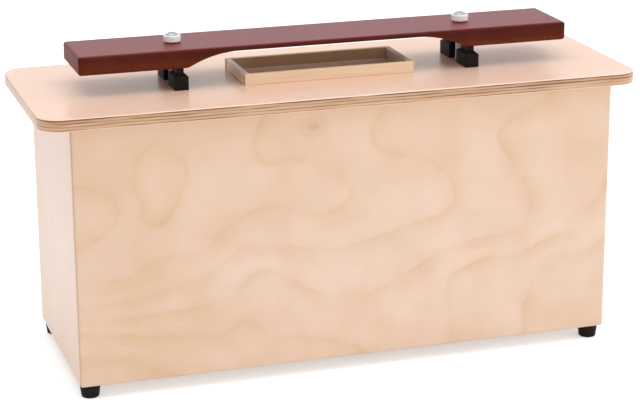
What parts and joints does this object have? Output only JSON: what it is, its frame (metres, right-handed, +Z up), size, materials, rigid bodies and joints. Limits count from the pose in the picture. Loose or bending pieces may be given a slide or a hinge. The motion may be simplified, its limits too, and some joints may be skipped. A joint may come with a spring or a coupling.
{
  "type": "bass resonator bar",
  "caption": "Tuned hardwood bar, arched underneath, resting on rubber blocks over the framed sound port of a plywood resonator box with an overhanging lid and rubber feet.",
  "frame": {"origin": "on the floor under the middle of the box", "axes": "+X along the sound bar to the right, -Y out of the front panel, +Z up"},
  "size_m": [0.6, 0.217, 0.3302],
  "materials": {
    "birch_ply": "clear satin lacquer",
    "lid_birch_ply": "clear satin lacquer",
    "birch_strip": "clear satin lacquer",
    "batten_pine": "planed, unfinished",
    "rosewood": "satin oil",
    "rubber": "moulded, matt",
    "white_plastic": "moulded, satin",
    "plated_steel": "zinc plated"
  },
  "bodies": {
    "box": {"front_panel": "birch_ply", "rear_panel": "birch_ply", "left_end_panel": "birch_ply", "right_end_panel": "birch_ply", "bottom_panel": "birch_ply", "lid": "lid_birch_ply", "corner_batten_front_left": "batten_pine", "corner_batten_front_right": "batten_pine", "corner_batten_rear_left": "batten_pine", "corner_batten_rear_right": "batten_pine", "node_rail_left": "batten_pine", "node_rail_right": "batten_pine", "port_strip_front": "birch_strip", "port_strip_rear": "birch_strip", "port_strip_left": "birch_strip", "port_strip_right": "birch_strip", "support_block_front_left": "rubber", "support_block_front_right": "rubber", "support_block_rear_left": "rubber", "support_block_rear_right": "rubber", "foot_front_left": "rubber", "foot_washer_front_left": "plated_steel", "foot_screw_front_left": "plated_steel", "foot_front_right": "rubber", "foot_washer_front_right": "plated_steel", "foot_screw_front_right": "plated_steel", "foot_rear_left": "rubber", "foot_washer_rear_left": "plated_steel", "foot_screw_rear_left": "plated_steel", "foot_rear_right": "rubber", "foot_washer_rear_right": "plated_steel", "foot_screw_rear_right": "plated_steel"},
    "bar": {"sound_bar": "rosewood"},
    "left_collar": {"bar_collar_left": "white_plastic"},
    "right_collar": {"bar_collar_right": "white_plastic"},
    "left_screw": {"bar_screw_left": "plated_steel"},
    "right_screw": {"bar_screw_right": "plated_steel"}
  },
  "joints": [
    {"name": "bar_lift", "type": "slide", "parent": "box", "child": "bar", "axis": [0, 0, 1], "range_m": [0, 0.0006]},
    {"name": "left_collar_lift", "type": "slide", "parent": "box", "child": "left_collar", "axis": [0, 0, 1], "range_m": [0, 0.02]},
    {"name": "left_screw_turn", "type": "hinge", "parent": "left_collar", "child": "left_screw", "pos_m": [-0.1495, 0, 0.3275], "axis": [0, 0, 1], "range_deg": [0, 3000]},
    {"name": "right_collar_lift", "type": "slide", "parent": "box", "child": "right_collar", "axis": [0, 0, 1], "range_m": [0, 0.02]},
    {"name": "right_screw_turn", "type": "hinge", "parent": "right_collar", "child": "right_screw", "pos_m": [0.1495, 0, 0.3275], "axis": [0, 0, 1], "range_deg": [0, 3000]}
  ],
  "couplings": [
    {"joint": "left_screw_turn", "follows": "left_collar_lift", "rad_per_m": 2513.3},
    {"joint": "right_screw_turn", "follows": "right_collar_lift", "rad_per_m": 2513.3}
  ]
}
